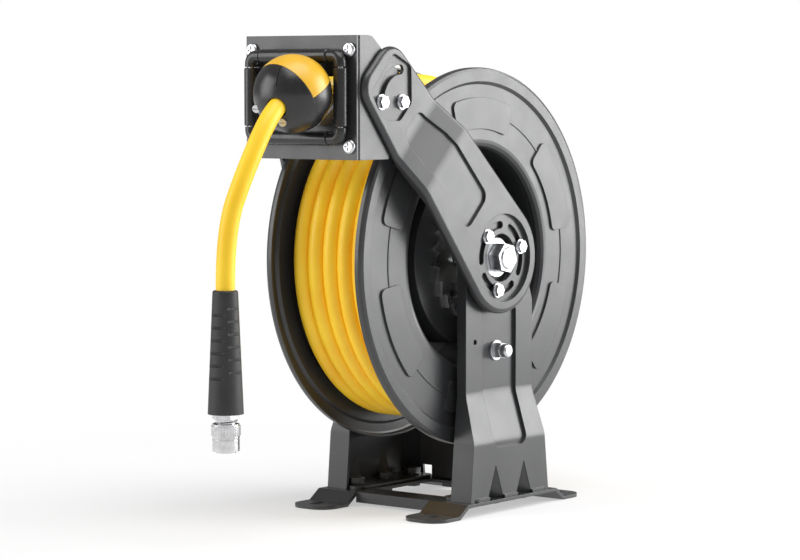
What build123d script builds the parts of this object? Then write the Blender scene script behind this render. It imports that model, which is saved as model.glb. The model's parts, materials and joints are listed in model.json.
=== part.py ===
from build123d import *
import math
import os

os.makedirs("parts", exist_ok=True)

# Spring-rewind air hose reel: a drum on a fixed axle between two pressed pedestals on a
# slotted base, and two arms that carry a roller guide for the hose.
# Millimetres. X runs from front (-) to back (+), the axle lies along Y, +Z is up.
# The origin is on the floor, at the centre of the four bolt slots in the base.

# ---- driving dimensions -------------------------------------------------
AXLE_X = -8.0
AXLE_Z = 227.5
AXLE_R = 10.0
RUNNING = 0.05          # radial clearance of a bush on its shaft
SHEET = 3.0             # pressed steel of frame and arms

SLOT_X = 93.0           # half spacing of the floor slots, front to back
SLOT_Y = 65.0
SLOT_R = 4.5
SLOT_LEN = 20.0
BASE_Z = 9.0            # underside of the raised base plate

PED_Z = BASE_Z + SHEET  # foot of a pedestal
PED_LOW = 82.5          # outer face of a pedestal below the joggle
PED_UP = 70.0           # and above it
JOG_LOW, JOG_HIGH = 64.5, 105.5
PED_EDGE = 60.0         # inner edge of a pedestal's side walls
FOOT_BOLT_X = (-42.0, 0.0, 42.0)
FOOT_BOLT_Y = 62.0
HUB_BOLT_R = 29.5
HUB_BOLT_ANGLES = (137.5, 17.5, 257.5)

FLANGE_R = 170.0
DRUM_HALF = 50.0        # inner faces of the drum flanges
CORE_R = 100.0
FLANGE_T = 1.6
OUTLET_Y = 34.0         # where the air leaves the swivel for the barrel

HOSE_R = 8.0
HOSE_PITCH = 16.5
TURNS_WIDE = 5
PACK_Y = 2.5            # middle of the turns
PACK_R = 149.0

ARM_FACE = 81.0         # outer face of an arm at the hub
HEAD_FACE = 68.0        # and at the head
ARM_HUB_R = 50.0
HEAD_X, HEAD_Z = -157.0, 381.5
RECESS = 2.4            # depth of the pressed panels in an arm
HUB_RECESS = 3.6        # and round its hub

GUIDE_X = -192.8        # front face of the guide
GUIDE_HALF = 62.35
GUIDE_LOW, GUIDE_HIGH = 318.3, 423.9
PIVOT_X, PIVOT_Z = -137.2, 367.3
LOCK_X, LOCK_Z = -165.0, 367.3
SCREW_Y = 54.4
SCREW_Z = (329.8, 411.7)
ROLLERS_Z = 371.5       # middle height of the four rollers
WINDOW_Y_HALF = 40.0
WINDOW_LOW, WINDOW_HIGH = 347.5, 389.0
ROLLER_R = 6.0
ROLLER_X = GUIDE_X - 7.5
ROLLER_Y, ROLLER_Z = 50.0, 35.0
ROLLER_PIN_R = 2.5
PIN_HALF_Y, PIN_HALF_Z = 43.0, 30.0   # half lengths of the level and upright pins

TAIL_Y = -16.0          # plane of the hanging hose end
BALL = Vector(-224.5, -18.0, 374.5)
BALL_R = 33.5
BORE_DIP, BORE_YAW = 12.0, 16.0     # degrees the ball's bore points below level and to the near side
CAP_DIP, CAP_YAW = 30.0, -8.0       # and the joint of its front shell
TAIL_X = -308.5
GRIP_LOW, GRIP_HIGH = 110.5, 213.0
COUPLER_END = 78.3

RATCHET_R = 57.0
TEETH = 24
TOOTH_PHASE = 6.25      # degrees: leaves a gap in front of the pawl
RATCHET_Y = (-46.0, -42.0)
PAWL_X, PAWL_Z = AXLE_X + 5.5, 143.6
PAWL_PIN_R = 4.0
PAWL_ANCHOR = (-36.5, 153.0)        # hole for the far end of the pawl spring


# ---- helpers ------------------------------------------------------------
FROM_BOTTOM = (Align.CENTER, Align.CENTER, Align.MIN)


def ring_y(outer, inner, y_low, y_high, x=AXLE_X, z=AXLE_Z):
    """A ring, or a disc if inner is 0, with its axis along Y."""
    body = Cylinder(outer, y_high - y_low, align=FROM_BOTTOM)
    if inner:
        body -= Cylinder(inner, y_high - y_low, align=FROM_BOTTOM)
    return Pos(x, y_low, z) * Rot(-90, 0, 0) * body


def ring_z(outer, inner, z_low, z_high, x, y):
    """A ring, or a disc if inner is 0, with its axis along Z."""
    body = Cylinder(outer, z_high - z_low, align=FROM_BOTTOM)
    if inner:
        body -= Cylinder(inner, z_high - z_low, align=FROM_BOTTOM)
    return Pos(x, y, z_low) * body


def hex_y(across_flats, y_low, y_high, x=AXLE_X, z=AXLE_Z, hole=0.0, turn=0.0):
    """A hexagonal nut or bolt head along Y."""
    blank = extrude(RegularPolygon(across_flats / 2, 6, major_radius=False), y_high - y_low)
    blank = chamfer(blank.edges().group_by(Axis.Z)[-1], 0.6)
    if hole:
        blank -= Cylinder(hole, 3 * (y_high - y_low))
    return Pos(x, y_low, z) * Rot(-90, 0, 0) * Rot(0, 0, turn) * blank


def spun(profile):
    """Turn a profile of (radius, y) points about the axle."""
    face = make_face(Polyline(*profile, close=True))
    return Pos(AXLE_X, 0, AXLE_Z) * revolve(face, Axis.Y)


def box(x, y, z):
    """A block from three (low, high) pairs."""
    size = (x[1] - x[0], y[1] - y[0], z[1] - z[0])
    return Pos(x[0], y[0], z[0]) * Box(*size, align=(Align.MIN, Align.MIN, Align.MIN))


def far(shape):
    """The same piece on the other side of the reel."""
    return mirror(shape, about=Plane.XZ)


def polar(radius, degrees, x=AXLE_X, z=AXLE_Z):
    """A point (x, z) round a centre, counted from +X towards +Z."""
    angle = math.radians(degrees)
    return x + radius * math.cos(angle), z + radius * math.sin(angle)


def softened(solid, edges, radius):
    """Round the edges with the largest radius that the shape allows."""
    for size in (radius, 0.6 * radius, 0.35 * radius):
        try:
            return fillet(edges, size)
        except Exception:
            continue
    return solid


def save(shape, name):
    export_step(shape, f"parts/{name}.step")


# ---- base ---------------------------------------------------------------
def base_plate():
    """Raised plate with a window, folded front and back, and four slotted ears on the floor."""
    plate = box((-66, 66), (-86, 86), (BASE_Z, PED_Z))
    plate -= box((-38, 44), (-43, 43), (0, 20))
    for side in (-1, 1):
        low, high = sorted((side * 63, side * 66))
        plate += box((low, high), (-43, 43), (2.5, PED_Z))
        for across in (-1, 1):
            plate += ear(side, across)
    slot = extrude(SlotOverall(SLOT_LEN, 2 * SLOT_R), 20, both=True)
    for x in (-SLOT_X, SLOT_X):
        for y in (-SLOT_Y, SLOT_Y):
            plate -= Pos(x, y, 0) * slot
    for x in FOOT_BOLT_X:
        for y in (-FOOT_BOLT_Y, FOOT_BOLT_Y):
            plate -= ring_z(4.2, 0, 0, 30, x, y)
    return plate


def ear(side, across):
    """One ear: it ramps down from the plate to the floor and ends in a round paddle."""
    run = [(60, BASE_Z), (66, BASE_Z), (79, 0), (112, 0),
           (112, SHEET), (80.5, SHEET), (67.5, PED_Z), (60, PED_Z)]
    strip = extrude(Plane.XZ * make_face(Polyline(*run, close=True)), 22, both=True)
    plan = Pos(84, 0) * RectangleRounded(56, 44, 17)
    plan += Pos(68, 0) * Rectangle(30, 44)
    strip &= extrude(plan, 30, both=True)
    strip = Pos(0, SLOT_Y - 1, 0) * strip
    if side < 0:
        strip = mirror(strip, about=Plane.YZ)
    if across < 0:
        strip = far(strip)
    return strip


def cross_brace():
    """Upright plate across the back of the base, between the pedestals."""
    brace = box((50, 53), (-59.5, 59.5), (24, 60))
    brace = softened(brace, brace.edges().filter_by(Axis.X).group_by(Axis.Z)[-1], 6)
    return brace + box((50, 53), (-45.5, 45.5), (PED_Z, 30))


# ---- pedestals ----------------------------------------------------------
def pedestal_slab(inset):
    """Everything inside the joggled outer face of the near pedestal, moved in by inset."""
    shift = inset * math.tan(math.radians(8.5))
    path = [(-PED_LOW + inset, PED_Z - 1), (-PED_LOW + inset, JOG_LOW + shift),
            (-PED_UP + inset, JOG_HIGH + shift), (-PED_UP + inset, 300), (0, 300), (0, PED_Z - 1)]
    face = make_face(Polyline(*path, close=True))
    corners = face.vertices().sort_by_distance((-PED_UP, (JOG_LOW + JOG_HIGH) / 2))[:2]
    face = fillet(corners, 22)
    return extrude(Plane.YZ * face, 80, both=True)


def pedestal_outline(grow=0.0):
    """Front view of a pedestal, as a sketch of (x, z)."""
    radius = 42.0 + grow
    g = grow
    left = AXLE_X - radius
    lean_x, lean_z = AXLE_X + radius * math.cos(0.32), AXLE_Z + radius * math.sin(0.32)
    top = CenterArc((AXLE_X, AXLE_Z), radius, math.degrees(0.32), 180 - math.degrees(0.32))
    sides = Polyline((left, AXLE_Z), (-50 - g, JOG_HIGH), (-54.5 - g, JOG_LOW), (-59 - g, PED_Z - g),
                     (59 + g, PED_Z - g), (53 + g, JOG_LOW), (50 + g, JOG_HIGH), (50 + g, 186),
                     (lean_x, lean_z))
    return make_face(top + sides)


def column(sketch):
    """A sketch of (x, z) carried right through the near side."""
    return extrude(Plane.XZ * sketch, 120)


def pedestal():
    """Near pedestal: a pressed channel with a recessed panel, two foot gussets and a hub boss."""
    outer = pedestal_slab(0) & column(pedestal_outline())
    rim = [e for e in outer.edges() if e.bounding_box().min.Y < -PED_EDGE - 5
           and e.bounding_box().max.Y < -PED_EDGE + 1 and e.bounding_box().size.X < 70
           and e.bounding_box().min.Z > PED_Z - 0.5 and e.bounding_box().size.Z > 1]
    outer = softened(outer, rim, 4)
    shell = outer & box((-90, 90), (-90, -PED_EDGE), (PED_Z, 300))
    shell -= pedestal_slab(SHEET) & column(pedestal_outline(-SHEET))
    # recessed central panel
    panel = Pos(0, 122) * RectangleRounded(50, 128, 9)
    behind = Pos(0, 122) * RectangleRounded(50 + 2 * SHEET, 134, 11)
    wall = pedestal_slab(SHEET) - pedestal_slab(2 * SHEET)
    shell += wall & column(behind) & column(pedestal_outline(-SHEET))
    shell -= column(panel) - pedestal_slab(SHEET)
    # foot flange turned in, with round inner corners
    foot = Pos(0, -65.5) * RectangleRounded(112, 38, 8)
    foot += Pos(0, -72) * Rectangle(112, 18)
    shell += extrude(Plane.XY.offset(PED_Z) * foot, SHEET)
    # pressed gussets between wall and foot
    for x in (-22, 20.5):
        shell += loft([gusset_level(x, PED_Z + 0.5, 13.5, 12.0), gusset_level(x, 46, 0.8, 0.9)])
        shell -= loft([gusset_level(x, PED_Z - 1, 12.2, 9.0, 4), gusset_level(x, 42, 0.5, 0.6, 4)])
    # hub boss that the arm bears on, and the holes
    shell += ring_y(38.5, 24, -74.1, -PED_UP + SHEET)
    shell -= ring_y(14.05, 0, -90, -50)
    for angle in HUB_BOLT_ANGLES:
        x, z = polar(HUB_BOLT_R, angle)
        shell -= ring_y(3.2, 0, -90, -50, x, z)
    shell -= ring_y(4.05, 0, -90, -50, PAWL_X, PAWL_Z)
    shell -= ring_y(2.4, 0, -90, -50, *PAWL_ANCHOR)
    for x in FOOT_BOLT_X:
        shell -= ring_z(4.2, 0, 0, 30, x, -FOOT_BOLT_Y)
    return shell


def gusset_level(x, z, half, depth, out=0.0):
    """Triangular level of a foot gusset: broad at the wall, its ridge towards the reel."""
    wall = -PED_LOW + 0.5
    points = [(x + half, wall), (x, wall + depth), (x - half, wall)]
    if out:
        points += [(x - half, wall - out), (x + half, wall - out)]
    return Plane.XY.offset(z) * make_face(Polyline(*points, close=True))


def foot_bolts():
    """Six bolts with flange heads that hold the pedestals to the base plate."""
    group = []
    for y in (-FOOT_BOLT_Y, FOOT_BOLT_Y):
        for x in FOOT_BOLT_X:
            top = PED_Z + SHEET
            bolt = ring_z(4.0, 0, 4.2, top, x, y) + ring_z(8.0, 0, top, top + 1.5, x, y)
            bolt += Pos(x, y, top + 1.5) * extrude(RegularPolygon(6.5, 6, major_radius=False), 5)
            group.append(bolt)
    return Compound(children=group)


def foot_nuts():
    """Nuts under the base plate for the pedestal bolts."""
    group = []
    for y in (-FOOT_BOLT_Y, FOOT_BOLT_Y):
        for x in FOOT_BOLT_X:
            nut = Pos(x, y, 4.2) * extrude(RegularPolygon(6.0, 6, major_radius=False), BASE_Z - 4.2)
            group.append(nut - ring_z(4.0, 0, 0, 20, x, y))
    return Compound(children=group)


# ---- axle and hub hardware ----------------------------------------------
def axle():
    """Fixed axle: bored from the far end as the air passage."""
    shaft = ring_y(AXLE_R, 0, -86.5, 84)
    shaft = chamfer(shaft.edges().filter_by(GeomType.CIRCLE), 1.0)
    shaft -= ring_y(4.0, 0, 34, 90)
    shaft -= Pos(AXLE_X, 34, AXLE_Z) * Cylinder(3.0, 12, align=FROM_BOTTOM)
    return shaft


def axle_collars():
    """Flanged collars that seat the axle in the pedestals."""
    near = ring_y(18, AXLE_R, -73, -70) + ring_y(14, AXLE_R, -70, -60)
    near = softened(near, near.edges().group_by(Axis.Y)[0], 0.8)
    return Compound(children=[near, far(near)])


def axle_nut():
    """Hexagon nut on the near end of the axle."""
    return hex_y(24, -85, -73.1, hole=AXLE_R, turn=12)


def arm_bolt(x, z, seat, height, end, nut):
    """Flange bolt on the near side: washer outside y = -seat, and a nut between two levels."""
    bolt = ring_y(3.0, 0, -seat, end, x, z) + ring_y(6.6, 0, -seat - 1.3, -seat, x, z)
    head = extrude(RegularPolygon(5.0, 6, major_radius=False), height)
    bolt += Pos(x, -seat - 1.3, z) * Rot(90, 0, 0) * head
    return bolt + hex_y(10, *nut, x, z)


def hub_bolts():
    """Near-side bolts that the arm's arc slots run on, with nuts behind the pedestal."""
    seat = ARM_FACE - HUB_RECESS + 0.2
    places = [polar(HUB_BOLT_R, angle) for angle in HUB_BOLT_ANGLES]
    return Compound(children=[arm_bolt(x, z, seat, 3.0, -60, (-66.9, -62.0)) for x, z in places])


# ---- drum ---------------------------------------------------------------
def drum_flange():
    """Near drum flange: dished sheet, rolled rim, lip into the core and six pressed panels."""
    t = FLANGE_T
    y0 = DRUM_HALF
    profile = [(98.4, -43.2), (98.4, -46.5), (100.0, -49.6), (102.6, -51.2), (105.5, -y0 - t),
               (155, -y0 - t), (157.5, -54.2), (166.5, -54.2), (169.2, -53.0), (FLANGE_R, -50.6),
               (FLANGE_R, -47.0), (168.4, -47.0), (168.4, -50.2), (167.6, -52.0), (166.2, -52.6),
               (158.4, -52.6), (156.0, -y0), (106, -y0), (103.6, -49.6), (101.4, -48.2),
               (100.0, -45.9), (100.0, -43.2)]
    disc = spun(profile)
    for index in range(6):
        angle = 27.5 + 60 * index
        disc += flange_panel(angle, 0.0, -y0 - t - 1.8, -y0 - 0.4)
        disc -= flange_panel(angle, 1.2, -y0 - t + 0.2, -y0 + 5)
    bead = ring_y(130.4, 128.6, -y0 - t - 0.7, -y0 - 0.8)
    return disc + bead


def flange_panel(angle, inset, y_low, y_high):
    """Sector block of a pressed flange panel."""
    r_in, r_out, half = 115 + inset, 143 - inset, 18.5
    low, high = angle - half + inset * 0.5, angle + half - inset * 0.5
    turn = high - low
    edge = CenterArc((0, 0), r_out, low, turn) + CenterArc((0, 0), r_in, low, turn)
    ends = [Line(point_at(r_in, a), point_at(r_out, a)) for a in (low, high)]
    face = make_face(edge + ends[0] + ends[1])
    face = fillet(face.vertices(), 6)
    block = extrude(Plane.XZ * face, y_high - y_low)
    return Pos(AXLE_X, y_high, AXLE_Z) * block


def point_at(radius, degrees):
    return radius * math.cos(math.radians(degrees)), radius * math.sin(math.radians(degrees))


def drum_barrel():
    """Drum barrel, with a hole where the hose passes out to the turns."""
    barrel = spun([(98.4, -43.1), (CORE_R, -43.1), (CORE_R, 43.1), (98.4, 43.1)])
    return barrel - Pos(AXLE_X, OUTLET_Y, AXLE_Z + 90) * Cylinder(9.0, 30)


def drum_web():
    """Disc across the barrel that the spring case is screwed to."""
    return ring_y(98.4, 14.05, 19.8, 21.8)


def web_collar():
    """Ring welded on the web round the far bush."""
    return ring_y(20, 14.05, 21.8, 24.4)


def spring_case():
    """Cup for the rewind spring, closed on the ratchet side."""
    return spun([(14.05, -41.9), (80, -41.9), (80, 18.2), (91, 18.2), (91, 19.75), (78.4, 19.75),
                 (78.4, -40.3), (14.05, -40.3)])


def case_screws():
    """Six screws through the spring case flange into the web."""
    group = []
    for index in range(6):
        x, z = polar(85.7, 30 + 60 * index)
        head = ring_y(4.6, 0, 15.2, 18.15, x, z)
        group.append(softened(head, head.edges().group_by(Axis.Y)[0], 1.2))
    return Compound(children=group)


def mainspring():
    """Flat spiral rewind spring."""
    turns, r_start, r_end, half = 9, 22.0, 76.0, 0.45
    count = turns * 12
    def curve(offset):
        points = []
        for index in range(count + 1):
            part = index / count
            points.append(point_at(r_start + (r_end - r_start) * part + offset, 360 * turns * part))
        return Spline(*points)
    inner, outer = curve(-half), curve(half)
    face = make_face(inner + outer + Line(inner @ 0, outer @ 0) + Line(inner @ 1, outer @ 1))
    return Pos(AXLE_X, 14, AXLE_Z) * extrude(Plane.XZ * face, 52)


def spring_arbor():
    """Sleeve keyed to the axle that holds the spring's inner end."""
    return ring_y(18, AXLE_R, -38, 14)


def ratchet_wheel():
    """Saw-toothed wheel on the spring case."""
    step = 360 / TEETH
    outline = []
    for index in range(TEETH):
        outline.append(point_at(RATCHET_R, index * step + TOOTH_PHASE))
        outline.append(point_at(RATCHET_R - 7, (index + 0.18) * step + TOOTH_PHASE))
    face = make_face(Polyline(*outline, close=True))
    wheel = Pos(AXLE_X, RATCHET_Y[1], AXLE_Z) * extrude(Plane.XZ * face, RATCHET_Y[1] - RATCHET_Y[0])
    wheel -= ring_y(14.05, 0, -60, -30)
    for index in range(4):
        x, z = polar(40, 45 + 90 * index)
        wheel -= ring_y(7, 0, -60, -30, x, z)
    return wheel


def ratchet_screws():
    """Pan-head screws that hold the ratchet wheel to the spring case."""
    group = []
    for index in range(4):
        x, z = polar(30, 90 * index)
        head = ring_y(4.5, 0, -48.6, -46, x, z)
        head = softened(head, head.edges().group_by(Axis.Y)[0], 1.2)
        slot = box((x - 5, x + 5), (-50, -47.8), (z - 0.5, z + 0.5))
        group.append(head - slot)
    return Compound(children=group)


def drum_bushes():
    """Flanged bronze bushes between drum and axle."""
    bore = AXLE_R + RUNNING
    near = ring_y(14, bore, -47.5, -39.5) + ring_y(17, bore, -49, -46.05)
    outer = ring_y(14, bore, 19.8, 24.4)
    return Compound(children=[near, outer])


def swivel_body():
    """Brass swivel that carries air from the fixed axle to the turning drum."""
    body = ring_y(21, AXLE_R + RUNNING, 24.5, 43)
    body -= ring_y(13, 0, 31.5, 36.5)
    for y in (28, 40):
        body -= ring_y(12.6, 0, y - 1.3, y + 1.3)
    outlet = Pos(AXLE_X, OUTLET_Y, AXLE_Z)
    stub = outlet * Pos(0, 0, 12) * Cylinder(6.5, 86.5, align=FROM_BOTTOM)
    nut = outlet * Pos(0, 0, 60) * extrude(RegularPolygon(8.5, 6, major_radius=False), 14)
    bore = outlet * Pos(0, 0, 11) * Cylinder(3.5, 90, align=FROM_BOTTOM)
    return body + (stub - ring_y(20, 0, 20, 50)) + nut - bore


def swivel_seals():
    """Two O-rings in the swivel."""
    seal = Torus(11.3, 1.22)
    return Compound(children=[Pos(AXLE_X, y, AXLE_Z) * Rot(90, 0, 0) * seal for y in (28, 40)])


def inlet_fitting():
    """Female threaded inlet on the far end of the axle."""
    fitting = ring_y(14.5, 0, 86, 89) + hex_y(27, 89, 103)
    fitting += ring_y(14.5, 0, 84.0, 86.1)
    fitting -= ring_y(7.7, 0, 89, 110)
    fitting -= ring_y(4.0, 0, 80, 95)
    return fitting


def axle_lock_ring():
    """Retaining nut between the far collar and the inlet."""
    return hex_y(24, 73.1, 83.9, hole=AXLE_R)


def hose_pack():
    """The hose wound on the drum, as one ring with rounded outer edges."""
    half = TURNS_WIDE * HOSE_PITCH / 2
    low, high = PACK_Y - half, PACK_Y + half
    pack = spun([(CORE_R + 0.2, low + 3), (CORE_R + 7, low), (PACK_R - 6, low), (PACK_R, low + 6),
                 (PACK_R, high - 6), (PACK_R - 6, high), (CORE_R + 7, high), (CORE_R + 0.2, high - 3)])
    return pack


# ---- pawl ---------------------------------------------------------------
def pawl_bolt():
    """Bolt through the near pedestal that the pawl swings on, with washer and nut."""
    bolt = ring_y(PAWL_PIN_R, 0, -80, -42, PAWL_X, PAWL_Z)
    bolt += ring_y(9, 0, -69, -67.05, PAWL_X, PAWL_Z)
    bolt += hex_y(13, -76, -69, PAWL_X, PAWL_Z, turn=8)
    end = ring_y(6.2, 0, -83.0, -76, PAWL_X, PAWL_Z)
    bolt += fillet(end.edges().group_by(Axis.Y)[0], 2.4)
    bolt += ring_y(6.5, 0, -63.9, -47, PAWL_X, PAWL_Z)
    return bolt


def pawl():
    """Pawl lever, swung clear of the ratchet teeth at rest."""
    reach = 32.0
    lean = math.radians(31.25)
    tip = (reach * math.sin(lean), reach * math.cos(lean))
    side = (math.cos(lean), -math.sin(lean))
    points = [(-7 * side[0], -7 * side[1]), (tip[0] - 2 * side[0], tip[1] - 2 * side[1]),
              (tip[0] + 1.5 * side[0], tip[1] + 1.5 * side[1]), (13 * side[0], 13 * side[1] + 4)]
    lever = make_face(Polyline(*points, close=True)) + Circle(8.5)
    lever += Pos(-9, 0) * Circle(3.5)
    lever -= Circle(PAWL_PIN_R + RUNNING)
    return Pos(PAWL_X, RATCHET_Y[1], PAWL_Z) * extrude(Plane.XZ * lever, 4)


def pawl_spring():
    """Small torsion spring round the pawl bolt."""
    coil = Helix(pitch=1.5, height=4.5, radius=8.0)
    wire = Wire(coil.edges())
    start = wire.position_at(0)
    section = Plane(start, z_dir=wire.tangent_at(0)) * Circle(0.55)
    spring = sweep(section, path=wire)
    return Pos(PAWL_X, -47.6, PAWL_Z) * Rot(90, 0, 0) * spring


# ---- arms ---------------------------------------------------------------
ARM_DX, ARM_DZ = HEAD_X - AXLE_X, HEAD_Z - AXLE_Z
ARM_LEN = math.hypot(ARM_DX, ARM_DZ)
ARM_DIR = (ARM_DX / ARM_LEN, 0, ARM_DZ / ARM_LEN)
# arm plane: x from hub to head, y across the arm, z outward on the near side
ARM_PLANE = Plane(origin=(AXLE_X, 0, AXLE_Z), x_dir=ARM_DIR, z_dir=(0, -1, 0))
ARM_SIDE = Plane(origin=(AXLE_X, 0, AXLE_Z), x_dir=ARM_DIR, z_dir=(ARM_DIR[2], 0, -ARM_DIR[0]))


def hull_of(*circles):
    """Convex outline round circles given as (x, y, radius)."""
    return make_hull([Pos(x, y) * edge for x, y, radius in circles for edge in Circle(radius).edges()])


def arm_outline(grow=0.0):
    """Arm seen from the side: a bar that narrows from the hub to a square head with round corners."""
    return hull_of((0, 0, ARM_HUB_R + grow), (216, -11.5, 24 + grow), (220, 10.5, 20 + grow))


def arm_slab(inset, edge_hub=71.0, edge_head=62.9):
    """Everything between the arm's joggled outer face, moved in by inset, and its inner edge."""
    low, high = 122, 160
    hub_face, head_face = ARM_FACE - inset, HEAD_FACE - inset
    path = [(-80, hub_face), (low, hub_face), (high, head_face), (280, head_face),
            (280, edge_head), (high - 8, edge_head), (low, edge_hub), (-80, edge_hub)]
    face = make_face(Polyline(*path, close=True))
    corners = [v for v in face.vertices() if low - 1 < v.X < high + 1
               and (abs(v.Y - hub_face) < 0.01 or abs(v.Y - head_face) < 0.01)]
    face = fillet(corners, 20)
    return extrude(ARM_SIDE * face, 90, both=True)


def arm_column(sketch):
    return extrude(ARM_PLANE * sketch, 120)


# pressed panels of an arm, in its own plane: (corners, corner radius)
MIDDLE_PANEL = [(57, -21.5), (57, 21), (128, 20), (170, 15), (170, -16), (136, -21.5)]
HEAD_PANEL = [(230, -24), (205, -34), (181.5, -12), (181.5, 10), (198, 25), (227, 22)]


def pressed(corners, radius, grow=0.0):
    """Rounded outline of a panel, larger all round by grow."""
    face = make_face(Polyline(*corners, close=True))
    face = fillet(face.vertices(), radius)
    return offset(face, grow) if grow else face


def arm():
    """Near arm: pressed channel with joggle, panels, arc slots and a tilt slot in the head."""
    outer = arm_slab(0) & arm_column(arm_outline())
    rim = [e for e in outer.edges() if -HEAD_FACE - 20 < e.bounding_box().min.Y < -HEAD_FACE + 0.1
           and e.bounding_box().max.Y < -HEAD_FACE + 0.6 and not crosses_bar(e)]
    outer = softened(outer, rim, 4.5)
    shell = outer - (arm_slab(SHEET, 50, 50) & arm_column(arm_outline(-SHEET)))
    keep = arm_column(arm_outline(-1.0))
    panels = [(Circle(39.5), Circle(39.5 + SHEET), HUB_RECESS)]
    for corners, radius in ((MIDDLE_PANEL, 9), (HEAD_PANEL, 6.5)):
        panels.append((pressed(corners, radius), pressed(corners, radius, SHEET), RECESS))
    for panel, behind, depth in panels:
        wall = arm_slab(SHEET, 50, 50) - arm_slab(SHEET + depth, 50, 50)
        shell += wall & arm_column(behind) & keep
        shell -= arm_column(panel) - arm_slab(depth, 40, 40)
    # centre hole and three arc slots on the hub bolts
    shell -= ring_y(21.5, 0, -100, -50)
    for angle in HUB_BOLT_ANGLES:
        shell -= arc_slot(AXLE_X, AXLE_Z, HUB_BOLT_R, angle - 46, 92, 3.3)
    # pivot hole and tilt slot of the guide
    shell -= ring_y(3.05, 0, -100, -50, PIVOT_X, PIVOT_Z)
    shell -= arc_slot(PIVOT_X, PIVOT_Z, PIVOT_X - LOCK_X, 92, 88, 4.2)
    return shell


def crosses_bar(edge):
    """Whether an edge runs straight across the arm at its joggle."""
    along = Vector(*ARM_DIR)
    if edge.geom_type != GeomType.LINE or abs(edge.tangent_at(0).dot(along)) > 0.5:
        return False
    return (edge.center() - Vector(AXLE_X, 0, AXLE_Z)).dot(along) < 200


def arc_slot(x, z, radius, start, turn, half_width):
    """Curved slot cutter through the near side."""
    outer = CenterArc((0, 0), radius + half_width, start, turn)
    inner = CenterArc((0, 0), radius - half_width, start, turn)
    band = make_face(outer + inner + Line(outer @ 0, inner @ 0) + Line(outer @ 1, inner @ 1))
    for angle in (start, start + turn):
        band += Pos(*point_at(radius, angle)) * Circle(half_width)
    return Pos(x, 0, z) * extrude(Plane.XZ * band, 100)


def hose_run():
    """Hose between the drum and the guide."""
    route = FilletPolyline(*RUN_ROUTE, radius=corner_radii(RUN_ROUTE))
    return sweep(Plane(route @ 0, z_dir=route % 0) * Circle(HOSE_R), path=route)


# ---- guide --------------------------------------------------------------
def guide_bracket():
    """U-shaped bracket: front web with a window and two cheeks between the arm heads."""
    t = SHEET
    web = box((GUIDE_X + 2, GUIDE_X + 2 + t), (-GUIDE_HALF, GUIDE_HALF), (GUIDE_LOW, GUIDE_HIGH))
    web -= window_block(1.0)
    near = cheek()
    bracket = web + near + far(near)
    bends = [e for e in bracket.edges().filter_by(Axis.Z)
             if abs(e.center().X - GUIDE_X - 2) < 0.1 and abs(abs(e.center().Y) - GUIDE_HALF) < 0.1]
    bracket = softened(bracket, bends, 2.0)
    for y in (-SCREW_Y, SCREW_Y):
        for z in SCREW_Z:
            bracket -= Pos(GUIDE_X, y, z) * Rot(0, 90, 0) * Cylinder(2.5, 30)
    return bracket


def cheek():
    """Side plate of the guide: round top corner, a slope and a lobe round the pivot."""
    front, corner_r, lobe_r = GUIDE_X + 2, 12, 20
    corner = Pos(-178.0, GUIDE_HIGH - corner_r) * Circle(corner_r)
    lobe = Pos(PIVOT_X, PIVOT_Z) * Circle(lobe_r)
    strip = Rectangle(6, GUIDE_HIGH - GUIDE_LOW, align=(Align.MIN, Align.MIN))
    heel = Rectangle(30, 8, align=(Align.MIN, Align.MIN))
    pieces = [corner, lobe, Pos(front, GUIDE_LOW) * strip, Pos(front + 10, GUIDE_LOW) * heel]
    outline = make_hull([edge for piece in pieces for edge in piece.edges()])
    plate = Pos(0, -GUIDE_HALF + SHEET, 0) * extrude(Plane.XZ * outline, SHEET)
    plate -= ring_y(3.05, 0, -80, -40, PIVOT_X, PIVOT_Z)
    plate -= ring_y(3.2, 0, -80, -40, LOCK_X, LOCK_Z)
    return plate


def window_block(grow=0.0):
    """Cutter of the hose window."""
    height = WINDOW_HIGH - WINDOW_LOW + 2 * grow
    face = RectangleRounded(2 * (WINDOW_Y_HALF + grow), height, 4)
    return Pos(GUIDE_X, 0, (WINDOW_LOW + WINDOW_HIGH) / 2) * extrude(Plane.YZ * face, 12, both=True)


def guide_plate():
    """Front plate of the guide, screwed to the bracket."""
    half = GUIDE_HALF - 0.6
    plate = box((GUIDE_X, GUIDE_X + 1.98), (-half, half), (GUIDE_LOW, GUIDE_HIGH))
    plate -= window_block()
    for y in (-SCREW_Y, SCREW_Y):
        for z in SCREW_Z:
            plate -= Pos(GUIDE_X, y, z) * Rot(0, 90, 0) * Cylinder(2.5, 30)
    return plate


def guide_screws():
    """Four pan-head screws with nuts behind the web."""
    group = []
    for y in (-SCREW_Y, SCREW_Y):
        for z in SCREW_Z:
            head = Cylinder(6.2, 3.2, align=FROM_BOTTOM)
            head = fillet(head.edges().group_by(Axis.Z)[-1], 2.0)
            head -= Pos(0, 0, 3.2) * (Box(7, 1.3, 2.4) + Box(1.3, 7, 2.4))
            shank = Pos(0, 0, -11) * Cylinder(2.5, 11, align=FROM_BOTTOM)
            nut = Pos(0, 0, -9.2) * extrude(RegularPolygon(4.2, 6, major_radius=False), 4.2)
            group.append(Pos(GUIDE_X, y, z) * Rot(0, -90, 0) * (head + shank + nut))
    return Compound(children=group)


def guide_bolts():
    """Pivot and lock bolts through arms and cheeks, with their nuts."""
    seat = HEAD_FACE - RECESS + 0.2
    places = ((PIVOT_X, PIVOT_Z), (LOCK_X, LOCK_Z))
    near = [arm_bolt(x, z, seat, 3.6, -52, (-59.3, -54.8)) for x, z in places]
    return Compound(children=near + [far(bolt) for bolt in near])


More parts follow.
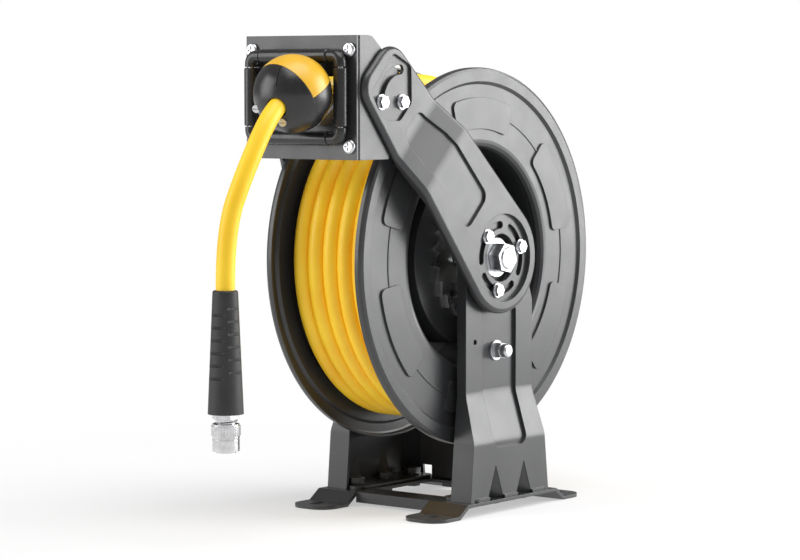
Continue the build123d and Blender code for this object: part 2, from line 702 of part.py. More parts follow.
def roller_lugs():
    """Four corner lugs: a round elbow that holds the ends of two roller pins, on a short post."""
    bend, tube = 6.5, 5.3
    rise, reach = ROLLER_Z, ROLLER_Y
    path = Line((reach, 25.8), (reach, rise - bend))
    path += RadiusArc((reach, rise - bend), (reach - bend, rise), -bend)
    path += Line((reach - bend, rise), (38.3, rise))
    path = Pos(ROLLER_X, 0, 0) * (Plane.YZ * path)
    elbow = sweep(Plane(path @ 0, z_dir=path % 0) * Circle(tube), path=path)
    post = Pos(ROLLER_X, reach - 3.5, rise - 3.5) * Rot(0, 90, 0) * Cylinder(
        5.0, GUIDE_X - ROLLER_X, align=FROM_BOTTOM)
    lug = elbow + post
    lug -= Pos(ROLLER_X, 0, rise) * Rot(90, 0, 0) * Cylinder(ROLLER_PIN_R, 2 * PIN_HALF_Y)
    lug -= Pos(ROLLER_X, reach, 0) * Cylinder(ROLLER_PIN_R, 2 * PIN_HALF_Z)
    upper = [lug, mirror(lug, about=Plane.XZ)]
    lower = [mirror(piece, about=Plane.XY) for piece in upper]
    return Compound(children=[Pos(0, 0, ROLLERS_Z) * piece for piece in upper + lower])


def roller_pins():
    """Steel pins of the four rollers."""
    group = []
    for z in (-ROLLER_Z, ROLLER_Z):
        pin = Cylinder(ROLLER_PIN_R, 2 * PIN_HALF_Y)
        group.append(Pos(ROLLER_X, 0, ROLLERS_Z + z) * Rot(90, 0, 0) * pin)
    for y in (-ROLLER_Y, ROLLER_Y):
        pin = Cylinder(ROLLER_PIN_R, 2 * PIN_HALF_Z)
        group.append(Pos(ROLLER_X, y, ROLLERS_Z) * pin)
    return Compound(children=group)


def roller(half_length):
    """One guide roller along Z, centred on the origin."""
    body = Cylinder(ROLLER_R, 2 * half_length)
    body = chamfer(body.edges().filter_by(GeomType.CIRCLE), 0.8)
    return body - Cylinder(ROLLER_PIN_R + RUNNING, 3 * half_length)


# ---- ball stop and hose end ---------------------------------------------
def pointing(dip, yaw):
    """Forward direction dip degrees below level and turned yaw degrees to the near side."""
    dip, yaw = math.radians(dip), math.radians(yaw)
    return Vector(-math.cos(dip) * math.cos(yaw), -math.cos(dip) * math.sin(yaw), -math.sin(dip))


def level_across(yaw):
    """Level direction square to that forward direction."""
    return Vector(-math.sin(math.radians(yaw)), math.cos(math.radians(yaw)), 0)


BORE_DIR = pointing(BORE_DIP, BORE_YAW)
BORE_PLANE = Plane(origin=BALL, x_dir=level_across(BORE_YAW), z_dir=BORE_DIR)
CAP_DIR = pointing(CAP_DIP, CAP_YAW)
CAP_UP = level_across(CAP_YAW).cross(CAP_DIR)
CAP_SHIFT = 7.0
BAND_GAP = 0.25
MOUTH_DEPTH = 2.0


def ball_blank():
    """Ball with the hose bore, which follows the bend of the hose at the mouth."""
    return Pos(*BALL) * Sphere(BALL_R) - tail_tube(HOSE_R + 1.1)


def half_space(plane, size=120):
    return plane * Box(size, size, size, align=FROM_BOTTOM)


def ball_cap():
    """Front clamp shell of the ball, with a split line above the mouth."""
    cap = ball_blank() & half_space(Plane(BALL + CAP_DIR * CAP_SHIFT, z_dir=CAP_DIR))
    cut = BORE_PLANE * Pos(0, -28, 40) * Box(0.7, 30, 60)
    return cap - cut


def ball_rear():
    """The ball behind the front shell."""
    return ball_blank() - half_space(Plane(BALL + CAP_DIR * (CAP_SHIFT - BAND_GAP), z_dir=CAP_DIR))


def ball_upper():
    """Coloured upper shell of the ball's rear."""
    return ball_rear() & half_space(Plane(BALL + CAP_UP * 0.15, z_dir=CAP_UP))


def ball_lower():
    """Lower shell of the ball's rear."""
    return ball_rear() & half_space(Plane(BALL - CAP_UP * 0.15, z_dir=-CAP_UP))


def ball_screws():
    """Two screws that clamp the front shell."""
    group = []
    for x, y in ((-2.0, 18.3), (24.0, 8.0)):
        depth = math.sqrt(BALL_R ** 2 - x ** 2 - y ** 2)
        head = Pos(x, y, depth - 2) * Cylinder(3.4, 4.2, align=FROM_BOTTOM)
        head -= Pos(x, y, depth + 2.2) * Box(5, 1.1, 2)
        group.append(BORE_PLANE * head - ball_cap())
    return Compound(children=group)


# route of the hanging hose end, from inside the ball's mouth to the bend restrictor
TAIL_START = BALL + BORE_DIR * MOUTH_DEPTH
TAIL_BEND = BALL + BORE_DIR * 37.0
TAIL_ROUTE = [
    (TAIL_START.X, TAIL_START.Y, TAIL_START.Z),
    (TAIL_BEND.X, TAIL_BEND.Y, TAIL_BEND.Z),
    (-293.5, -25.0, 311.0),
    (TAIL_X, TAIL_Y, 262.0),
    (TAIL_X, TAIL_Y, GRIP_HIGH),
]


def corner_radii(points):
    """Arc for each corner of a route. Corners that share a run split it by how far each turns."""
    vectors = [Vector(*p) for p in points]
    runs = [after - before for before, after in zip(vectors, vectors[1:])]
    turns = [0] + [math.radians(a.get_angle(b)) for a, b in zip(runs, runs[1:])] + [0]
    radii = []
    for here in range(1, len(vectors) - 1):
        turn = turns[here]
        shares = [turn / (turn + turns[here + side]) for side in (-1, 1)]
        reach = 0.95 * min(runs[here - 1].length * shares[0], runs[here].length * shares[1])
        radii.append(reach / math.tan(turn / 2))
    return radii


# route of the hose from the top of the wound turns to the guide
RUN_Z = AXLE_Z + PACK_R + HOSE_R + 0.4
RUN_ROUTE = [(-30, 16, RUN_Z), (-75, 5, RUN_Z), (-120, -6, RUN_Z - 1.1), (-182, -16, 381.5)]


def tail_tube(radius):
    """Round bar along the route of the hanging hose end."""
    route = FilletPolyline(*TAIL_ROUTE, radius=corner_radii(TAIL_ROUTE))
    return sweep(Plane(route @ 0, z_dir=route % 0) * Circle(radius), path=route)


def hose_tail():
    """Hanging hose end, with its corner radii and length printed as a check."""
    tube = tail_tube(HOSE_R)
    print("hose tail: radii", [round(r) for r in corner_radii(TAIL_ROUTE)],
          "length", round(tube.volume / (math.pi * HOSE_R ** 2), 1))
    return tube


def bend_restrictor():
    """Rubber sleeve, wider towards the coupler, with staggered rows of slots."""
    height = GRIP_HIGH - GRIP_LOW
    sleeve = Cone(15.0, 10.6, height, align=FROM_BOTTOM)
    sleeve = fillet(sleeve.edges().group_by(Axis.Z)[-1], 2.0)
    sleeve -= Cylinder(9.0, 22, align=FROM_BOTTOM)
    for row in range(12):
        z = 30 + 5.25 * row
        radius = 15.0 - 4.4 * z / height
        for index in range(2):
            angle = 90 * (row % 2) + 180 * index
            notch = Pos(radius, 0, z) * Box(5.2, 1.35 * radius, 2.3)
            sleeve -= Rot(0, 0, angle) * notch
    return Pos(TAIL_X, TAIL_Y, GRIP_LOW) * sleeve


# coupler levels, from its open end up
SLEEVE_LOW, SLEEVE_HIGH = COUPLER_END + 1.5, COUPLER_END + 24.0
SPRING_LOW, SPRING_HIGH = COUPLER_END + 8.0, COUPLER_END + 18.5
BODY_SHOULDER = COUPLER_END + 27.5
SOCKET_R = 6.2
SOCKET_LEN = 20.0


def coupler_body():
    """Socket body: open bore below, shoulder for the sleeve spring, barb into the hose."""
    x, y = TAIL_X, TAIL_Y
    body = ring_z(8.4, 0, COUPLER_END, BODY_SHOULDER, x, y)
    body += ring_z(9.9, 0, BODY_SHOULDER, GRIP_LOW, x, y)
    body += Pos(x, y, BODY_SHOULDER + 0.6) * extrude(RegularPolygon(10.0, 6, major_radius=False), 3.9)
    body += ring_z(8.9, 0, GRIP_LOW, GRIP_LOW + 20, x, y)
    body -= ring_z(SOCKET_R, 0, COUPLER_END - 1, COUPLER_END + SOCKET_LEN, x, y)
    body -= ring_z(7.2, 0, COUPLER_END + SOCKET_LEN, COUPLER_END + 30, x, y)
    body -= ring_z(3.2, 0, COUPLER_END, GRIP_LOW + 21, x, y)
    return body


def coupler_sleeve():
    """Knurled sleeve that slides up to release the plug."""
    x, y = TAIL_X, TAIL_Y
    bore = 8.4 + RUNNING
    sleeve = ring_z(11.4, bore, SLEEVE_LOW, SLEEVE_HIGH, x, y)
    sleeve += ring_z(12.3, bore, SLEEVE_HIGH - 9.5, SLEEVE_HIGH - 1.5, x, y)
    sleeve -= ring_z(10.2, 0, SPRING_LOW, SLEEVE_HIGH + 1, x, y) - ring_z(8.0, 0, 0, 200, x, y)
    sleeve -= ring_z(11.9, 0, COUPLER_END + 11, COUPLER_END + 12, x, y) - ring_z(11.0, 0, 0, 200, x, y)
    for index in range(30):
        angle = math.radians(12 * index)
        groove = ring_z(0.55, 0, SLEEVE_HIGH - 9.5, SLEEVE_HIGH - 1.5,
                        x + 12.4 * math.cos(angle), y + 12.4 * math.sin(angle))
        sleeve -= groove
    return sleeve


def coupler_spring():
    """Return spring of the sleeve, between its step and the body's shoulder."""
    low, high = SPRING_LOW + 0.45, BODY_SHOULDER - 0.45
    coil = Helix(pitch=(high - low) / 5, height=high - low, radius=9.3)
    wire = Wire(coil.edges())
    section = Plane(wire.position_at(0), z_dir=wire.tangent_at(0)) * Circle(0.4)
    return Pos(TAIL_X, TAIL_Y, low) * sweep(section, path=wire)


def coupler_valve():
    """Poppet that closes the socket when no plug is in."""
    x, y = TAIL_X, TAIL_Y
    base = COUPLER_END + SOCKET_LEN + 0.3
    valve = ring_z(7.1, 0, base, base + 3.0, x, y)
    return valve + ring_z(2.6, 0, base + 3.0, base + 6.2, x, y)


# ---- write every piece --------------------------------------------------
def main():
    near_pedestal = pedestal()
    near_arm = arm()
    near_flange = drum_flange()
    bolts = hub_bolts()
    pieces = {
        "base_plate": base_plate(),
        "pedestal_near": near_pedestal,
        "pedestal_far": far(near_pedestal),
        "cross_brace": cross_brace(),
        "foot_bolts": foot_bolts(),
        "foot_nuts": foot_nuts(),
        "axle": axle(),
        "axle_collars": axle_collars(),
        "axle_nut": axle_nut(),
        "axle_lock_nut": axle_lock_ring(),
        "inlet_fitting": inlet_fitting(),
        "hub_bolts_near": bolts,
        "hub_bolts_far": far(bolts),
        "spring_arbor": spring_arbor(),
        "pawl_bolt": pawl_bolt(),
        "pawl": pawl(),
        "pawl_spring": pawl_spring(),
        "drum_flange_near": near_flange,
        "drum_flange_far": far(near_flange),
        "drum_barrel": drum_barrel(),
        "drum_web": drum_web(),
        "web_collar": web_collar(),
        "spring_case": spring_case(),
        "case_screws": case_screws(),
        "mainspring": mainspring(),
        "ratchet_wheel": ratchet_wheel(),
        "ratchet_screws": ratchet_screws(),
        "drum_bushes": drum_bushes(),
        "swivel_body": swivel_body(),
        "swivel_seals": swivel_seals(),
        "hose_pack": hose_pack(),
        "arm_near": near_arm,
        "arm_far": far(near_arm),
        "hose_run": hose_run(),
        "guide_bracket": guide_bracket(),
        "guide_plate": guide_plate(),
        "guide_screws": guide_screws(),
        "guide_bolts": guide_bolts(),
        "roller_lugs": roller_lugs(),
        "roller_pins": roller_pins(),
        "roller_top": Pos(ROLLER_X, 0, ROLLERS_Z + ROLLER_Z) * Rot(90, 0, 0) * roller(37.5),
        "roller_bottom": Pos(ROLLER_X, 0, ROLLERS_Z - ROLLER_Z) * Rot(90, 0, 0) * roller(37.5),
        "roller_near": Pos(ROLLER_X, -ROLLER_Y, ROLLERS_Z) * roller(25.0),
        "roller_far": Pos(ROLLER_X, ROLLER_Y, ROLLERS_Z) * roller(25.0),
        "ball_cap": ball_cap(),
        "ball_upper": ball_upper(),
        "ball_lower": ball_lower(),
        "ball_screws": ball_screws(),
        "hose_tail": hose_tail(),
        "bend_restrictor": bend_restrictor(),
        "coupler_body": coupler_body(),
        "coupler_sleeve": coupler_sleeve(),
        "coupler_spring": coupler_spring(),
        "coupler_valve": coupler_valve(),
    }
    for name, shape in pieces.items():
        save(shape, name)


main()
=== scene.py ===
import json
import math
import random

import bpy
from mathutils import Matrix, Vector


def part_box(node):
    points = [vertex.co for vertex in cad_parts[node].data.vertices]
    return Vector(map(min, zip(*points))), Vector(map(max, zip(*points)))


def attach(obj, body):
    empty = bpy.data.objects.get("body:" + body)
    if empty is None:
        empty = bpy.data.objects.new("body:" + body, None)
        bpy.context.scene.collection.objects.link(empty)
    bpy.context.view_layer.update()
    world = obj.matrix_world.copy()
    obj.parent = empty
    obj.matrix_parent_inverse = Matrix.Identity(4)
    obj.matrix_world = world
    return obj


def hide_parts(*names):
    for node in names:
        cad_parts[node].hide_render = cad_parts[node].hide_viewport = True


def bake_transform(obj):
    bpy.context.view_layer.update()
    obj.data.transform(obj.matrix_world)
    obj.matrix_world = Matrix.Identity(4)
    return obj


# Spring-rewind hose reel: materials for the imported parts, the wound hose, the run to the guide and
# the hanging hose end. Metres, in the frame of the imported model.

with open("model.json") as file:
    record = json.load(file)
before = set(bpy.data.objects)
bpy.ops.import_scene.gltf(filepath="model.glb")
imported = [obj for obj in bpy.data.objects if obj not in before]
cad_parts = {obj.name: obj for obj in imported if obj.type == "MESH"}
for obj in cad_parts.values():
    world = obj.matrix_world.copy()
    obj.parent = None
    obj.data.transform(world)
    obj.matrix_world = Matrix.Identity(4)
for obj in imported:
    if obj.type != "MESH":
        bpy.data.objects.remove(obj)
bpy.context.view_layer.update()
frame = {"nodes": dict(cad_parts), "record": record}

# ---- sizes taken from the frame -----------------------------------------
FLANGE_LOW, FLANGE_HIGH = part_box("drum_flange_near")
AXLE = Vector(((FLANGE_LOW.x + FLANGE_HIGH.x) / 2, 0, (FLANGE_LOW.z + FLANGE_HIGH.z) / 2))
PACK_LOW, PACK_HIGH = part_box("hose_pack")
PACK_R = (PACK_HIGH.z - PACK_LOW.z) / 2
PACK_MIDDLE = (PACK_HIGH.y + PACK_LOW.y) / 2
HOSE_R = 0.008
HOSE_PITCH = 0.0165
TURNS = round((PACK_HIGH.y - PACK_LOW.y) / HOSE_PITCH)
LAYERS = 3
LAYER_STEP = 0.016
STEPS_A_TURN = 96        # points along one turn of the wound hose
JOG_SHARE = 0.2          # share of a turn in which the hose moves over to the next groove
JOG_END = -60            # degrees round the drum where each jog ends
RUN_FROM, RUN_TO, RUN_STEP = 20, 86, 6    # degrees round the drum of the turn that leaves it
FILL_LIGHT = 0.24        # strength of the white surroundings, as the object sees them
FLOOR_FADE = (("From Min", 0.15), ("From Max", 0.75), ("To Min", 0.45), ("To Max", 1.0))

# ---- hanging hose end: the same route as the model's tube ----------------
TAIL_ROUTE = [
    (-0.22638, -0.01854, 0.37408),
    (-0.25929, -0.02798, 0.36681),
    (-0.29350, -0.02500, 0.31100),
    (-0.30850, -0.01600, 0.26200),
    (-0.30850, -0.01600, 0.21300),
]


# ---- camera --------------------------------------------------------------
def make_camera():
    camera = bpy.data.objects.new("camera", bpy.data.cameras.new("camera"))
    bpy.context.scene.collection.objects.link(camera)
    camera.location = (-2.0287, -1.5599, 0.3848)
    target = Vector((-0.0264, 0.0233, 0.2041))
    camera.rotation_euler = (target - camera.location).to_track_quat("-Z", "Y").to_euler()
    camera.data.lens = 126.2
    camera.data.sensor_width = 36
    camera.data.clip_start, camera.data.clip_end = 0.05, 100
    bpy.context.scene.camera = camera


# ---- light, floor and background ----------------------------------------
def soft_box(name, place, aim, width, height, power):
    light = bpy.data.lights.new(name, "AREA")
    light.shape = "RECTANGLE"
    light.size, light.size_y = width, height
    light.energy = power
    lamp = bpy.data.objects.new(name, light)
    bpy.context.scene.collection.objects.link(lamp)
    lamp.location = place
    lamp.rotation_euler = (Vector(aim) - Vector(place)).to_track_quat("-Z", "Y").to_euler()


def make_studio():
    scene = bpy.context.scene
    scene.view_settings.view_transform = "Standard"
    world = bpy.data.worlds.new("studio")
    scene.world = world
    world.use_nodes = True
    nodes, links = world.node_tree.nodes, world.node_tree.links
    nodes.clear()
    out = nodes.new("ShaderNodeOutputWorld")
    seen = nodes.new("ShaderNodeBackground")
    seen.inputs["Color"].default_value = (1, 1, 1, 1)
    seen.inputs["Strength"].default_value = 1.0
    fill = nodes.new("ShaderNodeBackground")
    fill.inputs["Color"].default_value = (1, 1, 1, 1)
    fill.inputs["Strength"].default_value = FILL_LIGHT
    path = nodes.new("ShaderNodeLightPath")
    mix = nodes.new("ShaderNodeMixShader")
    links.new(path.outputs["Is Camera Ray"], mix.inputs["Fac"])
    links.new(fill.outputs[0], mix.inputs[1])
    links.new(seen.outputs[0], mix.inputs[2])
    links.new(mix.outputs[0], out.inputs["Surface"])

    centre = (-0.03, 0, 0.22)
    soft_box("side_box", (1.75, -1.55, 0.85), centre, 2.0, 1.9, 82)
    soft_box("front_box", (-1.75, 1.45, 0.95), centre, 1.6, 1.7, 30)
    soft_box("top_box", (-0.3, -0.5, 2.1), centre, 1.8, 1.4, 30)

    bpy.ops.mesh.primitive_circle_add(vertices=96, radius=9, fill_type="NGON", location=(0, 0, -0.0002))
    floor = bpy.context.object
    floor.name = "floor"
    floor.data.materials.append(make_floor())


# ---- materials -----------------------------------------------------------
class Shader:
    """One material with its principled shader, and short ways to add texture nodes to it."""

    def __init__(self, name, colour, roughness, metallic=0.0, **fixed):
        self.material = bpy.data.materials.new(name)
        self.material.use_nodes = True
        self.nodes = self.material.node_tree.nodes
        self.links = self.material.node_tree.links
        self.shader = self.nodes["Principled BSDF"]
        self.put("Base Color", (*colour, 1))
        self.put("Roughness", roughness)
        self.put("Metallic", metallic)
        for socket, value in fixed.items():
            self.put(socket.replace("_", " "), value)
        self.place = self.nodes.new("ShaderNodeTexCoord").outputs["Object"]

    def put(self, socket, value):
        self.shader.inputs[socket].default_value = value

    def stretched(self, scale):
        """Object coordinates scaled apart along the three axes."""
        mapping = self.nodes.new("ShaderNodeMapping")
        mapping.inputs["Scale"].default_value = scale
        self.links.new(self.place, mapping.inputs["Vector"])
        return mapping.outputs["Vector"]

    def noise(self, scale, detail=2.0, rough=0.5, place=None):
        node = self.nodes.new("ShaderNodeTexNoise")
        node.inputs["Scale"].default_value = scale
        node.inputs["Detail"].default_value = detail
        node.inputs["Roughness"].default_value = rough
        self.links.new(place or self.place, node.inputs["Vector"])
        return node.outputs["Fac"]

    def ramp(self, value, stops):
        """A colour ramp; each stop is (position, colour or grey)."""
        node = self.nodes.new("ShaderNodeValToRGB")
        ramp = node.color_ramp
        while len(ramp.elements) < len(stops):
            ramp.elements.new(0.5)
        for element, (position, colour) in zip(ramp.elements, stops):
            element.position = position
            rgb = colour if hasattr(colour, "__len__") else (colour,) * 3
            element.color = (*rgb, 1)
        self.links.new(value, node.inputs["Fac"])
        return node.outputs["Color"]

    def mix(self, share, first, second, kind="MIX"):
        """Mix of two colours; each is a socket or a colour."""
        node = self.nodes.new("ShaderNodeMix")
        node.data_type = "RGBA"
        node.blend_type = kind
        for socket, value in ((node.inputs[0], share), (node.inputs[6], first), (node.inputs[7], second)):
            if isinstance(value, bpy.types.NodeSocket):
                self.links.new(value, socket)
            elif hasattr(value, "__len__"):
                socket.default_value = (*value, 1)
            else:
                socket.default_value = value
        return node.outputs[2]

    def colour(self, value):
        self.links.new(value, self.shader.inputs["Base Color"])

    def roughness(self, value, low, high):
        """Roughness that follows a texture between two values."""
        node = self.nodes.new("ShaderNodeMapRange")
        node.inputs["From Min"].default_value = 0.3
        node.inputs["From Max"].default_value = 0.7
        node.inputs["To Min"].default_value = low
        node.inputs["To Max"].default_value = high
        self.links.new(value, node.inputs["Value"])
        self.links.new(node.outputs["Result"], self.shader.inputs["Roughness"])

    def edge(self, radius):
        """Normal rounded at sharp edges, as paint and plating round them."""
        node = self.nodes.new("ShaderNodeBevel")
        node.samples = 4
        node.inputs["Radius"].default_value = radius
        return node.outputs["Normal"]

    def bump(self, layers, normal=None):
        """Bump from (height, strength, distance) layers, one on the other."""
        for height, strength, distance in layers:
            node = self.nodes.new("ShaderNodeBump")
            node.inputs["Strength"].default_value = strength
            node.inputs["Distance"].default_value = distance
            self.links.new(height, node.inputs["Height"])
            if normal is not None:
                self.links.new(normal, node.inputs["Normal"])
            normal = node.outputs["Normal"]
        self.links.new(normal, self.shader.inputs["Normal"])


def make_floor():
    """Pale floor that turns into the white of the background away from the object."""
    floor = Shader("pale_floor", (0.86, 0.86, 0.86), 0.75)
    floor.put("Specular IOR Level", 0.2)
    floor.colour(floor.ramp(floor.noise(3.0, 3), [(0.35, 0.85), (0.65, 0.88)]))
    glow = floor.nodes.new("ShaderNodeEmission")
    glow.inputs["Strength"].default_value = 1.0
    distance = floor.nodes.new("ShaderNodeVectorMath")
    distance.operation = "LENGTH"
    floor.links.new(floor.place, distance.inputs[0])
    fade = floor.nodes.new("ShaderNodeMapRange")
    fade.interpolation_type = "SMOOTHSTEP"
    for socket, value in FLOOR_FADE:
        fade.inputs[socket].default_value = value
    floor.links.new(distance.outputs["Value"], fade.inputs["Value"])
    mix = floor.nodes.new("ShaderNodeMixShader")
    floor.links.new(fade.outputs["Result"], mix.inputs["Fac"])
    floor.links.new(floor.shader.outputs[0], mix.inputs[1])
    floor.links.new(glow.outputs[0], mix.inputs[2])
    floor.links.new(mix.outputs[0], floor.nodes["Material Output"].inputs["Surface"])
    return floor.material


def powder_coat(name):
    """Semi-gloss black powder coat: orange peel, faint mottling, pale specks and rounded edges."""
    paint = Shader(name, (0.03, 0.031, 0.033), 0.36, Coat_Weight=0.25, Coat_Roughness=0.2)
    mottle = paint.noise(14, 3)
    base = paint.ramp(mottle, [(0.35, (0.026, 0.027, 0.029)), (0.7, (0.036, 0.037, 0.039))])
    specks = paint.ramp(paint.noise(420, 2), [(0.62, 0.0), (0.78, 0.35)])
    paint.colour(paint.mix(specks, base, (0.06, 0.061, 0.064)))
    paint.roughness(paint.noise(38, 4, 0.6), 0.31, 0.42)
    peel = paint.noise(620, 1.5, 0.4)
    grain = paint.noise(2600, 2, 0.5)
    paint.bump([(peel, 0.10, 0.0004), (grain, 0.06, 0.0001)], paint.edge(0.0009))
    return paint.material


def plated(name, colour, rough, scratch=0.25):
    """Bright zinc or nickel plate with hairline marks and slight clouding."""
    metal = Shader(name, colour, rough, 1.0)
    cloud = metal.noise(160, 3)
    dark = tuple(0.8 * c for c in colour)
    metal.colour(metal.ramp(cloud, [(0.3, dark), (0.6, colour)]))
    lines = metal.noise(90, 3, 0.6, metal.stretched((1, 1, 30)))
    metal.roughness(lines, rough, rough + 0.14)
    metal.bump([(lines, scratch, 0.00008), (metal.noise(1500, 2), 0.05, 0.00008)], metal.edge(0.00035))
    return metal.material


def turned(name, colour, rough):
    """Turned metal: fine rings and a little staining."""
    metal = Shader(name, colour, rough, 1.0)
    stain = metal.noise(70, 4, 0.65)
    dark = tuple(0.72 * c for c in colour)
    metal.colour(metal.ramp(stain, [(0.32, dark), (0.62, colour)]))
    rings = metal.noise(40, 2, 0.6, metal.stretched((1, 40, 1)))
    metal.roughness(stain, rough, rough + 0.18)
    metal.bump([(rings, 0.2, 0.0001)], metal.edge(0.0004))
    return metal.material


def hose_cover():
    """Smooth yellow hose cover with faint scuffs and slow colour drift."""
    cover = Shader("hose_cover", (0.97, 0.61, 0.022), 0.42, Specular_IOR_Level=0.42)
    drift = cover.noise(22, 3)
    base = cover.ramp(drift, [(0.3, (0.95, 0.55, 0.018)), (0.7, (0.99, 0.66, 0.028))])
    scuff = cover.ramp(cover.noise(130, 5, 0.7), [(0.6, 0.0), (0.8, 0.22)])
    cover.colour(cover.mix(scuff, base, (0.76, 0.42, 0.03)))
    cover.roughness(cover.noise(75, 4, 0.6), 0.36, 0.52)
    cover.bump([(cover.noise(260, 2), 0.12, 0.0003), (cover.noise(1700, 2), 0.10, 0.0001)])
    return cover.material


def rubber(name, grey, rough):
    """Moulded rubber with a matt, slightly grainy skin."""
    skin = Shader(name, (grey, grey, grey * 1.05), rough, Specular_IOR_Level=0.4)
    bloom = skin.noise(55, 4, 0.6)
    skin.colour(skin.ramp(bloom, [(0.3, (grey, grey, grey * 1.04)), (0.75, (1.7 * grey,) * 3)]))
    skin.roughness(bloom, rough - 0.07, rough + 0.1)
    skin.bump([(skin.noise(900, 2), 0.2, 0.0002), (skin.noise(120, 2), 0.1, 0.0004)], skin.edge(0.0005))
    return skin.material


def moulded(name, colour, rough):
    """Moulded plastic: fine spark texture with a soft sheen."""
    shell = Shader(name, colour, rough, Coat_Weight=0.08, Coat_Roughness=0.3)
    drift = shell.noise(45, 3)
    darker = tuple(0.86 * c for c in colour)
    shell.colour(shell.ramp(drift, [(0.3, darker), (0.7, colour)]))
    shell.roughness(shell.noise(140, 3), rough - 0.05, rough + 0.08)
    spark, waves = shell.noise(1400, 2), shell.noise(70, 1)
    shell.bump([(spark, 0.12, 0.0001), (waves, 0.05, 0.0004)], shell.edge(0.0004))
    return shell.material


def make_materials():
    return {
        "black_steel": powder_coat("powder_coat"),
        "zinc": plated("zinc_plate", (0.66, 0.67, 0.69), 0.26),
        "steel": turned("turned_steel", (0.62, 0.62, 0.61), 0.24),
        "spring_steel": turned("blued_spring_steel", (0.26, 0.27, 0.30), 0.32),
        "brass": turned("machined_brass", (0.76, 0.57, 0.26), 0.22),
        "bronze": turned("sintered_bronze", (0.52, 0.34, 0.17), 0.42),
        "hose": hose_cover(),
        "grip_rubber": rubber("grip_rubber", 0.022, 0.55),
        "seal_rubber": rubber("seal_rubber", 0.015, 0.5),
        "black_plastic": moulded("black_plastic", (0.017, 0.017, 0.018), 0.28),
        "yellow_plastic": moulded("yellow_plastic", (0.86, 0.49, 0.03), 0.34),
        "chrome": plated("nickel_plate", (0.70, 0.70, 0.71), 0.14, 0.15),
    }


def dress_frame(materials):
    """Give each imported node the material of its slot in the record."""
    for piece in frame["record"]["subparts"]:
        node = frame["nodes"].get(piece["node"])
        if node is None:
            continue
        node.data.materials.clear()
        node.data.materials.append(materials[piece["material_slot"]])


# ---- tubes ---------------------------------------------------------------
def tube(name, path, radius, sides=20):
    """Mesh tube along a list of points, with closed round ends and even shading."""
    verts, faces = [], []
    side = None
    last = len(path) - 1
    for index, point in enumerate(path):
        ahead = path[min(index + 1, last)] - path[max(index - 1, 0)]
        ahead.normalize()
        if side is None:
            side = ahead.orthogonal().normalized()
        side = (side - ahead * side.dot(ahead)).normalized()
        up = ahead.cross(side)
        for step in range(sides):
            angle = 2 * math.pi * step / sides
            verts.append(point + radius * (math.cos(angle) * side + math.sin(angle) * up))
    for row in range(last):
        for step in range(sides):
            after = (step + 1) % sides
            low, high = row * sides, (row + 1) * sides
            faces.append((low + step, low + after, high + after, high + step))
    faces.append(tuple(range(sides))[::-1])
    faces.append(tuple(range(last * sides, (last + 1) * sides)))
    mesh = bpy.data.meshes.new(name)
    mesh.from_pydata([tuple(v) for v in verts], [], faces)
    mesh.validate()
    mesh.shade_smooth()
    made = bpy.data.objects.new(name, mesh)
    bpy.context.scene.collection.objects.link(made)
    return made


def smooth_step(part):
    part = max(0.0, min(1.0, part))
    return part * part * (3 - 2 * part)


def about_axle(radius, angle, y):
    return Vector((AXLE.x + radius * math.cos(angle), y, AXLE.z + radius * math.sin(angle)))


def make_winding(materials):
    """The hose on the drum: layers of turns that lie square and jog sideways once a turn."""
    dice = random.Random(7)
    path = []
    for layer in range(LAYERS):
        way = -1 if layer % 2 else 1
        radius = PACK_R - HOSE_R - (LAYERS - 1 - layer) * LAYER_STEP
        for turn in range(TURNS):
            here = PACK_MIDDLE + way * HOSE_PITCH * (turn - (TURNS - 1) / 2)
            lean, swell = dice.uniform(-0.0003, 0.0003), dice.uniform(-0.0004, 0.0)
            last_turn = turn == TURNS - 1
            for step in range(STEPS_A_TURN):
                part = step / STEPS_A_TURN
                shift = smooth_step((part - (1 - JOG_SHARE)) / JOG_SHARE)
                climb = LAYER_STEP * shift if last_turn and layer < LAYERS - 1 else 0.0
                side = 0.0 if last_turn else way * HOSE_PITCH * shift
                angle = math.radians(JOG_END) + 2 * math.pi * part
                wave = math.sin(math.pi * part)
                path.append(about_axle(radius + climb + swell * wave, angle, here + side + lean * wave))
    hose = tube("hose_winding", path, HOSE_R, 18)
    hose.data.materials.append(materials["hose"])
    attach(hose, "drum")
    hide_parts("hose_pack")


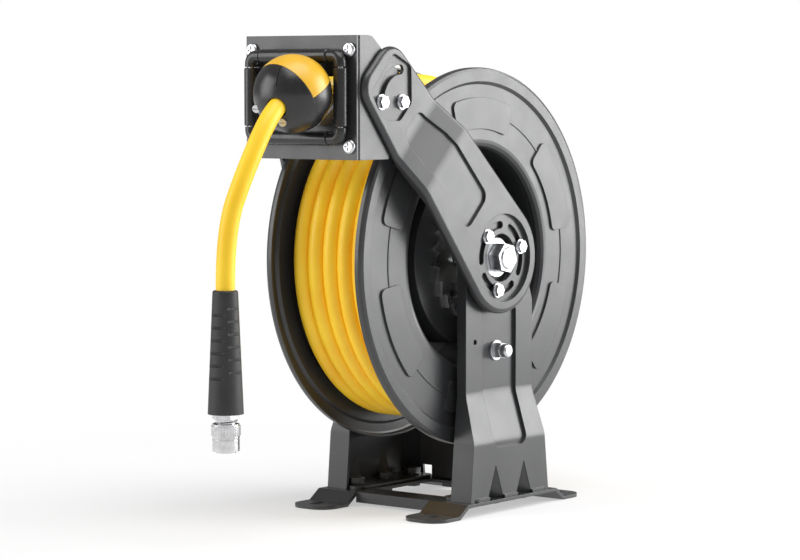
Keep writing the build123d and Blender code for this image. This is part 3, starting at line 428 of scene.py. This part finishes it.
def through(points, steps=10):
    """Smooth line through points (Catmull-Rom)."""
    line = []
    for index in range(len(points) - 1):
        a, b = points[max(index - 1, 0)], points[index]
        c, d = points[index + 1], points[min(index + 2, len(points) - 1)]
        for step in range(steps):
            t = step / steps
            line.append(0.5 * (2 * b + (c - a) * t + (2 * a - 5 * b + 4 * c - d) * t ** 2
                               + (3 * b - a - 3 * c + d) * t ** 3))
    return line + [points[-1]]


def make_run(materials):
    """The turn that lifts out of its groove over the top of the drum and runs to the ball."""
    groove = PACK_MIDDLE + 1.5 * HOSE_PITCH
    points = []
    for degrees in range(RUN_FROM, RUN_TO, RUN_STEP):
        rise = smooth_step((degrees - RUN_FROM) / 30) * 0.0117 + smooth_step((degrees - 55) / 35) * 0.0027
        side = groove - 0.0055 * smooth_step((degrees - 45) / 45) ** 2
        points.append(about_axle(PACK_R - HOSE_R + 0.002 + rise, math.radians(degrees), side))
    top = AXLE.z + PACK_R + HOSE_R + 0.0004
    points += [Vector(place) for place in (
        (-0.030, 0.0170, top), (-0.075, 0.0058, top), (-0.120, -0.0055, top - 0.001),
        (-0.182, -0.0160, 0.3815), (-0.1912, -0.0164, 0.3800))]
    hose = tube("hose_to_guide", through(points, 6), HOSE_R, 20)
    hose.data.materials.append(materials["hose"])
    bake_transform(hose)
    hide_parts("hose_run")


def make_tail(materials):
    """The hanging hose end, from the ball's mouth to the bend restrictor."""
    curve = bpy.data.curves.new("hose_end", "CURVE")
    curve.dimensions = "3D"
    spline = curve.splines.new("NURBS")
    spline.points.add(len(TAIL_ROUTE) - 1)
    for control, place in zip(spline.points, TAIL_ROUTE):
        control.co = (*place, 1)
    spline.order_u = 3
    spline.use_endpoint_u = True
    curve.resolution_u = 24
    curve.bevel_depth = HOSE_R
    curve.bevel_resolution = 8
    curve.use_fill_caps = True
    curve.materials.append(materials["hose"])
    hose = bpy.data.objects.new("hose_end", curve)
    bpy.context.scene.collection.objects.link(hose)
    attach(hose, "guide")
    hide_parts("hose_tail")


make_camera()
make_studio()
MATERIALS = make_materials()
dress_frame(MATERIALS)
make_winding(MATERIALS)
make_run(MATERIALS)
make_tail(MATERIALS)
